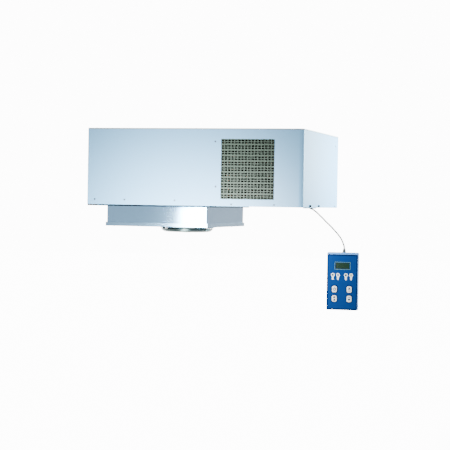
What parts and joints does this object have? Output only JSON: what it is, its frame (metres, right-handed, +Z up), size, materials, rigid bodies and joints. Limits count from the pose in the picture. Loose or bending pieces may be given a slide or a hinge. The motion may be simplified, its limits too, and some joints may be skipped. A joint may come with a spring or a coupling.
{
  "type": "monoblock refrigeration unit",
  "caption": "Ceiling-mounted monoblock cooler for a cold room: casing with compressor and condenser, insulated evaporator neck with fan, and a handset on a cable.",
  "frame": {"origin": "centre of the ceiling cut-out that the neck fills, on the underside of the sealing gasket", "axes": "+X to the right along the front, +Y to the back, +Z up, away from the cold room"},
  "size_m": [1.1712, 0.7902, 0.7702],
  "materials": {
    "casing_paint": "powder coated in pale blue grey, satin",
    "lid_paint": "powder coated in light grey, satin",
    "grille_paint": "perforated sheet, powder coated in grey green",
    "galvanised": "galvanised sheet",
    "neck_steel": "bright stainless sheet",
    "gasket_foam": "closed-cell sealing strip",
    "foam": "rigid polyurethane foam",
    "white_plastic": "moulded plastic",
    "dark_plastic": "moulded plastic",
    "copper": "drawn copper tube",
    "aluminium_fin": "fin stock",
    "dark_fin": "fin stock with dark green-black coating",
    "wire_chrome": "bright plated wire",
    "fan_metal": "pressed blades",
    "motor_paint": "black enamel",
    "compressor_paint": "black enamel, gloss",
    "rubber": "rubber mount",
    "circuit_green": "printed circuit board with parts",
    "cable_grey": "grey cable sheath",
    "overlay_blue": "blue front foil",
    "display": "dark green display under a clear window",
    "lens": "lamp lens",
    "button_white": "moulded button",
    "screw_zinc": "zinc plated screw"
  },
  "bodies": {
    "unit": {"casing_wrap": "casing_paint", "left_panel": "casing_paint", "rear_panel": "casing_paint", "top_lid": "lid_paint", "inlet_grille": "grille_paint", "rear_grille": "grille_paint", "base_plate": "galvanised", "ceiling_gasket": "gasket_foam", "neck_skin": "neck_steel", "neck_lining": "foam", "bottom_tray": "neck_steel", "outlet_louvre": "white_plastic", "air_baffle": "white_plastic", "chamber_insulation": "foam", "drip_pan": "galvanised", "drain_pipe": "dark_plastic", "evaporator_fins": "aluminium_fin", "evaporator_tubes": "copper", "evaporator_end_plates": "galvanised", "evap_fan_guard": "wire_chrome", "evap_fan_bracket": "galvanised", "evap_fan_motor": "motor_paint", "condenser_fins": "dark_fin", "condenser_tubes": "copper", "condenser_end_plates": "galvanised", "condenser_shroud": "galvanised", "condenser_fan_bracket": "galvanised", "condenser_fan_motor": "motor_paint", "compressor_shell": "compressor_paint", "compressor_feet": "galvanised", "compressor_grommets": "rubber", "terminal_cover": "dark_plastic", "filter_drier": "copper", "solenoid_valve": "copper", "capillary_tube": "copper", "suction_line": "copper", "discharge_line": "copper", "liquid_line": "copper", "electrical_box": "galvanised", "electrical_box_cover": "galvanised", "control_board": "circuit_green", "mains_gland": "dark_plastic", "cable_clamp": "dark_plastic", "remote_cable": "cable_grey", "remote_gland": "cable_grey", "remote_back_shell": "white_plastic", "remote_front_shell": "white_plastic", "remote_overlay": "overlay_blue", "display_window": "display", "led_lenses": "lens", "remote_board": "circuit_green", "casing_screws": "screw_zinc"},
    "evap_fan": {"evap_fan_blades": "fan_metal", "evap_fan_shaft": "wire_chrome"},
    "condenser_fan": {"condenser_fan_blades": "fan_metal", "condenser_fan_shaft": "wire_chrome"},
    "button_upper_left_key": {"button_upper_left": "button_white"},
    "button_upper_right_key": {"button_upper_right": "button_white"},
    "button_lower_left_key": {"button_lower_left": "button_white"},
    "button_lower_right_key": {"button_lower_right": "button_white"}
  },
  "joints": [
    {"name": "evap_fan_spin", "type": "hinge", "parent": "unit", "child": "evap_fan", "pos_m": [0.046, 0, -0.07], "axis": [0, 0, 1], "continuous": true},
    {"name": "condenser_fan_spin", "type": "hinge", "parent": "unit", "child": "condenser_fan", "pos_m": [0.41925, -0.28, 0.16455], "axis": [0, 1, 0], "continuous": true},
    {"name": "button_upper_left_press", "type": "slide", "parent": "unit", "child": "button_upper_left_key", "axis": [0, 1, 0], "range_m": [0, 0.0015], "stiffness_N_per_m": 900},
    {"name": "button_upper_right_press", "type": "slide", "parent": "unit", "child": "button_upper_right_key", "axis": [0, 1, 0], "range_m": [0, 0.0015], "stiffness_N_per_m": 900},
    {"name": "button_lower_left_press", "type": "slide", "parent": "unit", "child": "button_lower_left_key", "axis": [0, 1, 0], "range_m": [0, 0.0015], "stiffness_N_per_m": 900},
    {"name": "button_lower_right_press", "type": "slide", "parent": "unit", "child": "button_lower_right_key", "axis": [0, 1, 0], "range_m": [0, 0.0015], "stiffness_N_per_m": 900}
  ]
}
